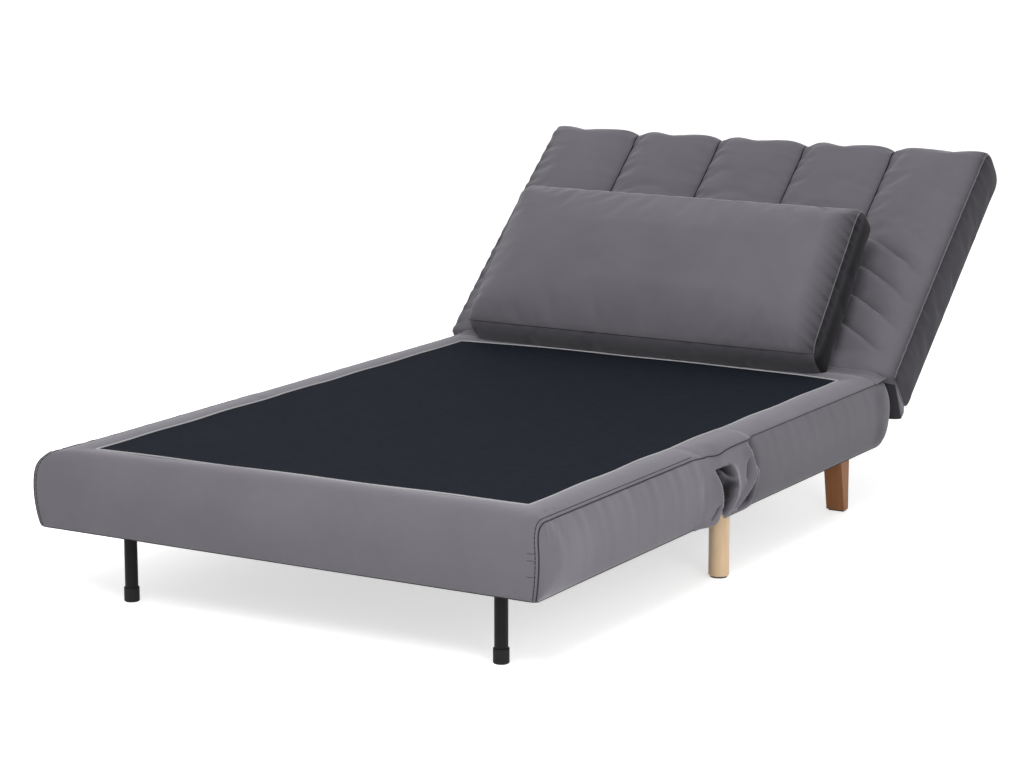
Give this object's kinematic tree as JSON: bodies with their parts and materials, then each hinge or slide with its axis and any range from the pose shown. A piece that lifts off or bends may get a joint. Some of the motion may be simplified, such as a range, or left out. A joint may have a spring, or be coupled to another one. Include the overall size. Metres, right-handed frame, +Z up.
{
  "type": "fold-out chair bed",
  "caption": "Armless upholstered chair that unfolds into a bed: hinged front section on folding legs, seat base on wooden legs, reclining channelled back and loose pillow.",
  "frame": {"origin": "on the floor under the middle of the unfolded object", "axes": "+Z up, +Y from the foot of the bed to the head, +X to the right when seen from the foot end"},
  "size_m": [0.96, 1.8024, 0.6255],
  "materials": {
    "velvet": "grey velvet pile over foam",
    "black_cloth": "plain woven black cloth",
    "grey_cloth": "plain grey backing cloth",
    "foam": "upholstery foam",
    "frame_timber": "sawn softwood",
    "beech": "clear lacquered pale beech",
    "stained_wood": "brown stained and lacquered",
    "zinc_steel": "zinc plated",
    "black_steel": "black powder coat",
    "rubber": "moulded black rubber",
    "glide_plastic": "moulded",
    "clip_plastic": "moulded"
  },
  "bodies": {
    "base": {"base_pad": "velvet", "base_panel": "black_cloth", "base_mat": "foam", "base_side_rail_left": "frame_timber", "base_side_rail_right": "frame_timber", "base_fold_rail": "frame_timber", "base_rear_rail": "frame_timber", "base_slats": "frame_timber", "base_lining": "black_cloth", "leg_blocks": "frame_timber", "leg_plates": "zinc_steel", "leg_studs": "zinc_steel", "leg_screws": "zinc_steel", "round_leg_left": "beech", "round_leg_right": "beech", "rear_leg_left": "stained_wood", "rear_leg_right": "stained_wood", "leg_glides": "glide_plastic", "fold_hinge_base_leaves": "zinc_steel", "fold_hinge_pins": "zinc_steel", "base_hinge_screws": "zinc_steel", "recline_base_plates": "zinc_steel", "recline_pins": "zinc_steel", "base_plate_bolts": "zinc_steel", "fold_gussets": "velvet", "rear_gusset": "grey_cloth"},
    "front_section": {"front_pad": "velvet", "front_panel": "black_cloth", "front_mat": "foam", "front_end_rail": "frame_timber", "front_fold_rail": "frame_timber", "leg_rail": "frame_timber", "front_side_rail_left": "frame_timber", "front_side_rail_right": "frame_timber", "front_slats": "frame_timber", "fold_hinge_front_leaves": "zinc_steel", "front_hinge_screws": "zinc_steel", "leg_clips": "clip_plastic", "clip_screws": "zinc_steel"},
    "front_legs": {"leg_cross_tube": "black_steel", "front_leg_left": "black_steel", "front_leg_right": "black_steel", "leg_caps": "rubber"},
    "backrest": {"back_pad": "velvet", "back_rear_cloth": "grey_cloth", "back_stile_left": "frame_timber", "back_stile_right": "frame_timber", "back_bottom_rail": "frame_timber", "back_top_rail": "frame_timber", "back_slats": "frame_timber", "recline_back_arms": "zinc_steel", "back_arm_bolts": "zinc_steel"},
    "pillow": {"pillow": "velvet"}
  },
  "joints": [
    {"name": "front_fold", "type": "hinge", "parent": "base", "child": "front_section", "pos_m": [0, -0.31121, 0.2605], "axis": [-1, 0, 0], "range_deg": [0, 180], "deforming": ["fold_gussets"]},
    {"name": "back_recline", "type": "hinge", "parent": "base", "child": "backrest", "pos_m": [0, 0.41079, 0.25], "axis": [1, 0, 0], "range_deg": [-41, 31], "deforming": ["rear_gusset"]},
    {"name": "leg_fold", "type": "hinge", "parent": "front_section", "child": "front_legs", "pos_m": [0, -0.80821, 0.155], "axis": [1, 0, 0], "range_deg": [0, 90]},
    {"name": "pillow_slide", "type": "slide", "parent": "backrest", "child": "pillow", "axis": [0, 0.6884, 0.7254], "range_m": [-0.026, 0.02]}
  ],
  "couplings": [
    {"joint": "pillow_slide", "follows": "back_recline", "m_per_rad": 0.036}
  ]
}
